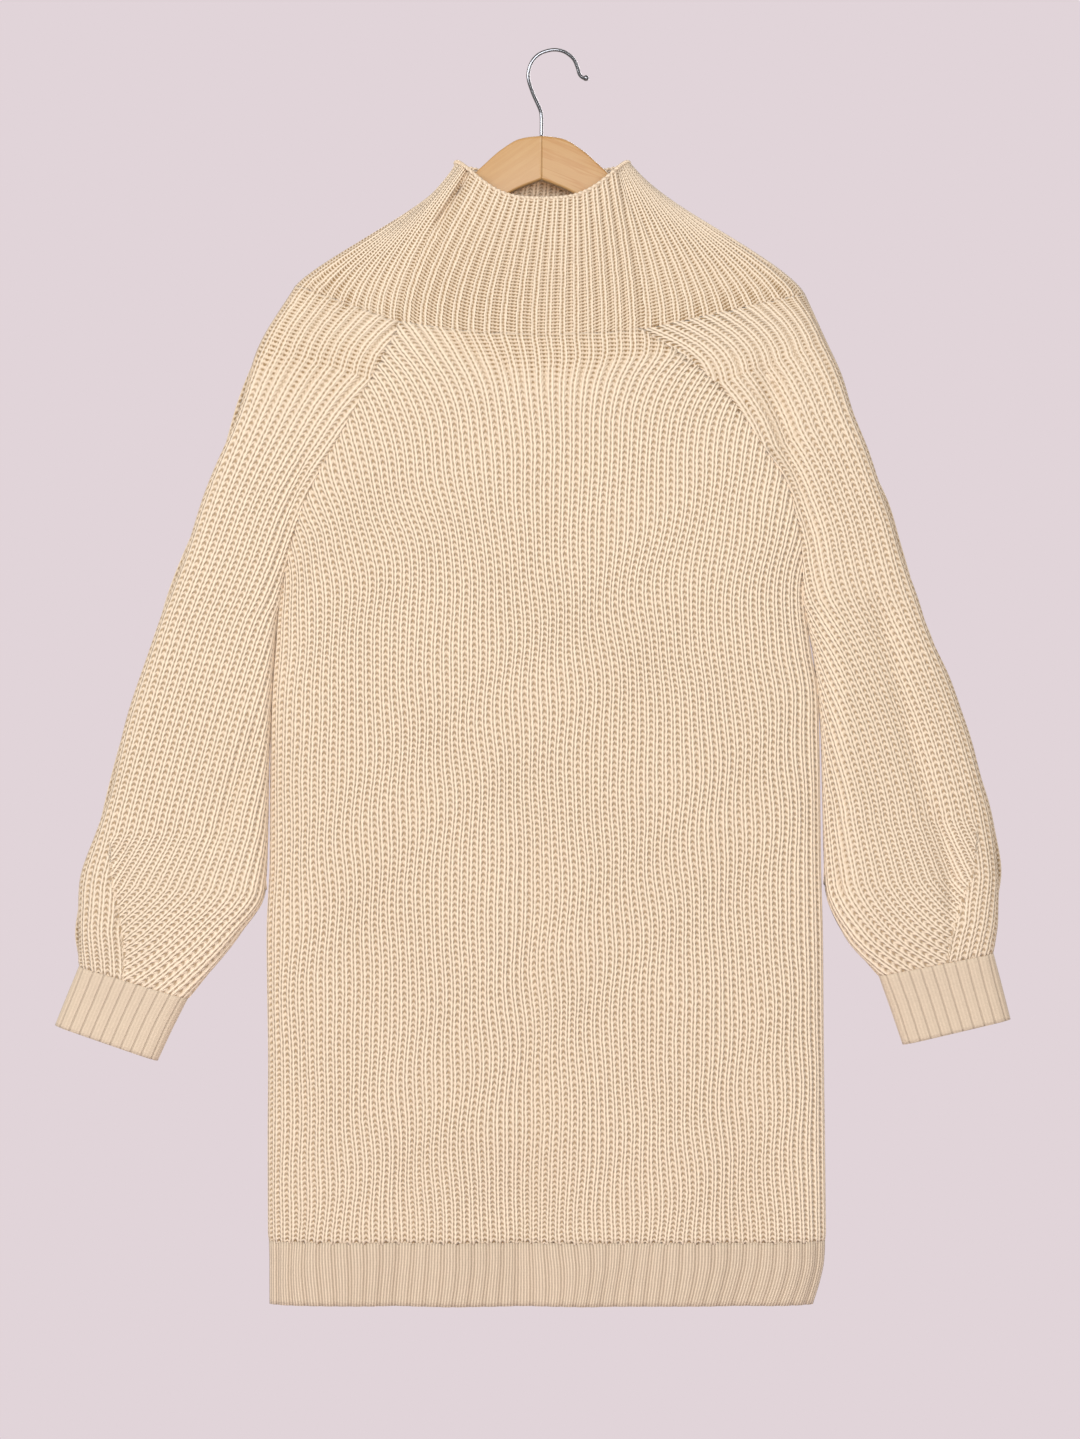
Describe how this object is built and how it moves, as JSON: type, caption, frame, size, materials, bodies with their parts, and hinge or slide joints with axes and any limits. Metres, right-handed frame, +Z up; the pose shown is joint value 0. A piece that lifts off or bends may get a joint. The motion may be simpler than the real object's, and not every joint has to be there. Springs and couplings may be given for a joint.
{
  "type": "sweater dress on a hanger",
  "caption": "Rib-knitted sweater dress with a funnel neck, raglan sleeves, ribbed cuffs and hem band, hung flat on a plain wooden hanger.",
  "frame": {"origin": "underside of the hanger's hook bow, where it rests on a rail", "axes": "+Z up, front of the dress faces -Y, +X to the right of a viewer who faces the front"},
  "size_m": [0.8119, 0.0598, 1.0675],
  "materials": {
    "knit": "matte",
    "wood": "satin",
    "wire": "polished"
  },
  "bodies": {
    "root": {"body_back": "knit", "body_front": "knit", "cuff_left": "knit", "cuff_right": "knit", "hanger_arm_left": "wood", "hanger_arm_right": "wood", "hem_back": "knit", "hem_front": "knit", "hook": "wire", "sleeve_left": "knit", "sleeve_right": "knit", "yoke": "knit"}
  },
  "joints": []
}
